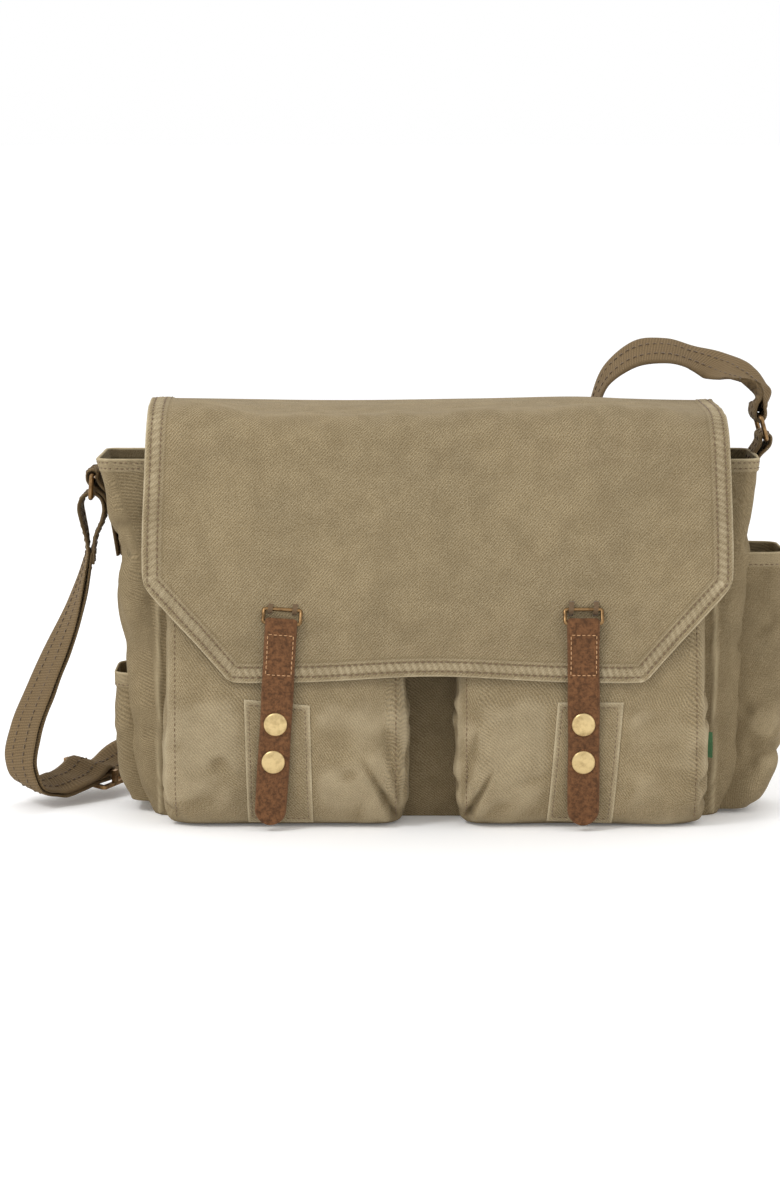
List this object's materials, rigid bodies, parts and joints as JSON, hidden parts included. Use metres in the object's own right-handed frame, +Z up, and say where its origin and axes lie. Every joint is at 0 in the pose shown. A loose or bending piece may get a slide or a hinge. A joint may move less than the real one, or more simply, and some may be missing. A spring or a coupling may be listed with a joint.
{
  "type": "messenger bag",
  "caption": "canvas messenger bag with a wide hanging flap, suede closure straps with press studs, cargo and side pockets and a webbing shoulder strap",
  "frame": {"origin": "middle of the length of the base panel, on the face that the bag stands on, 15 mm in front of the middle of its depth", "axes": "+X to the right seen from the front, -Y towards the front, +Z up"},
  "size_m": [0.5315, 0.1815, 0.3239],
  "materials": {
    "canvas": "washed khaki twill canvas",
    "lining_cloth": "plain cotton",
    "webbing": "ribbed cotton webbing",
    "thread": "heavy sewing thread",
    "label_cloth": "plain woven green tape",
    "suede": "brown suede",
    "snap_brass": "satin pale brass",
    "antique_brass": "aged brass wire"
  },
  "bodies": {
    "bag": {"back_panel": "canvas", "base_panel": "canvas", "front_panel": "canvas", "front_mouth_hem": "canvas", "left_gusset": "canvas", "left_gusset_hem": "canvas", "left_back_welt": "canvas", "left_front_welt": "canvas", "left_pocket_front": "canvas", "left_pocket_gusset": "canvas", "left_pocket_hem": "canvas", "left_snap_patch": "canvas", "left_snap_studs": "snap_brass", "left_side_pocket": "canvas", "left_side_pocket_hem": "canvas", "left_ring_tab": "webbing", "right_gusset": "canvas", "right_gusset_hem": "canvas", "right_back_welt": "canvas", "right_front_welt": "canvas", "right_pocket_front": "canvas", "right_pocket_gusset": "canvas", "right_pocket_hem": "canvas", "right_snap_patch": "canvas", "right_snap_studs": "snap_brass", "right_side_pocket": "canvas", "right_side_pocket_hem": "canvas", "right_ring_tab": "webbing", "side_label": "label_cloth", "strap_outer_run": "webbing", "strap_inner_run": "webbing", "strap_floor_run": "webbing", "strap_back_run": "webbing", "strap_arch": "webbing"},
    "flap_top": {"flap_outer_top": "canvas", "flap_lining_top": "lining_cloth", "flap_facing_top": "canvas"},
    "flap_front": {"flap_outer_front": "canvas", "flap_lining_front": "lining_cloth", "flap_facing_front": "canvas", "left_loop_tacks": "thread", "right_loop_tacks": "thread"},
    "left_loop": {"left_strap_loop": "antique_brass"},
    "right_loop": {"right_strap_loop": "antique_brass"},
    "left_closure": {"left_closure_strap": "suede", "left_snap_caps": "snap_brass", "left_snap_sockets": "snap_brass"},
    "right_closure": {"right_closure_strap": "suede", "right_snap_caps": "snap_brass", "right_snap_sockets": "snap_brass"},
    "left_ring": {"left_strap_ring": "antique_brass", "strap_ring_loop": "webbing"},
    "right_ring": {"right_strap_ring": "antique_brass", "strap_end_loop": "webbing"},
    "slider": {"slider_frame": "antique_brass", "slider_bar": "antique_brass", "slider_sewn_end": "webbing"}
  },
  "joints": [
    {"name": "flap_hinge", "type": "hinge", "parent": "bag", "child": "flap_top", "pos_m": [0, 0.0545, 0.2688], "axis": [-1, 0, 0], "range_deg": [0, 65]},
    {"name": "flap_fold", "type": "hinge", "parent": "flap_top", "child": "flap_front", "pos_m": [0, -0.05339, 0.26759], "axis": [-1, 0, 0], "range_deg": [0, 60]},
    {"name": "left_loop_swing", "type": "hinge", "parent": "flap_front", "child": "left_loop", "pos_m": [-0.101, -0.0689, 0.1465], "axis": [-0.998, 0, 0.0632], "range_deg": [0, 40]},
    {"name": "left_closure_swing", "type": "hinge", "parent": "left_loop", "child": "left_closure", "pos_m": [-0.10154, -0.0735, 0.13802], "axis": [-0.998, 0, 0.0632], "range_deg": [0, 110]},
    {"name": "right_loop_swing", "type": "hinge", "parent": "flap_front", "child": "right_loop", "pos_m": [0.095, -0.0689, 0.1465], "axis": [-1, 0, -0.0035], "range_deg": [0, 40]},
    {"name": "right_closure_swing", "type": "hinge", "parent": "right_loop", "child": "right_closure", "pos_m": [0.09503, -0.0735, 0.138], "axis": [-1, 0, -0.0035], "range_deg": [0, 110]},
    {"name": "left_ring_swing", "type": "hinge", "parent": "bag", "child": "left_ring", "pos_m": [-0.231, 0.028, 0.226], "axis": [0, 1, 0], "range_deg": [-5, 14]},
    {"name": "right_ring_swing", "type": "hinge", "parent": "bag", "child": "right_ring", "pos_m": [0.222, 0.036, 0.25], "axis": [0, 1, 0], "range_deg": [-8, 12]},
    {"name": "slider_slide", "type": "slide", "parent": "bag", "child": "slider", "axis": [0.5579, 0.824, 0.0989], "range_m": [-0.008, 0.008]}
  ],
  "couplings": [
    {"joint": "flap_fold", "follows": "flap_hinge", "ratio": 0.9}
  ]
}
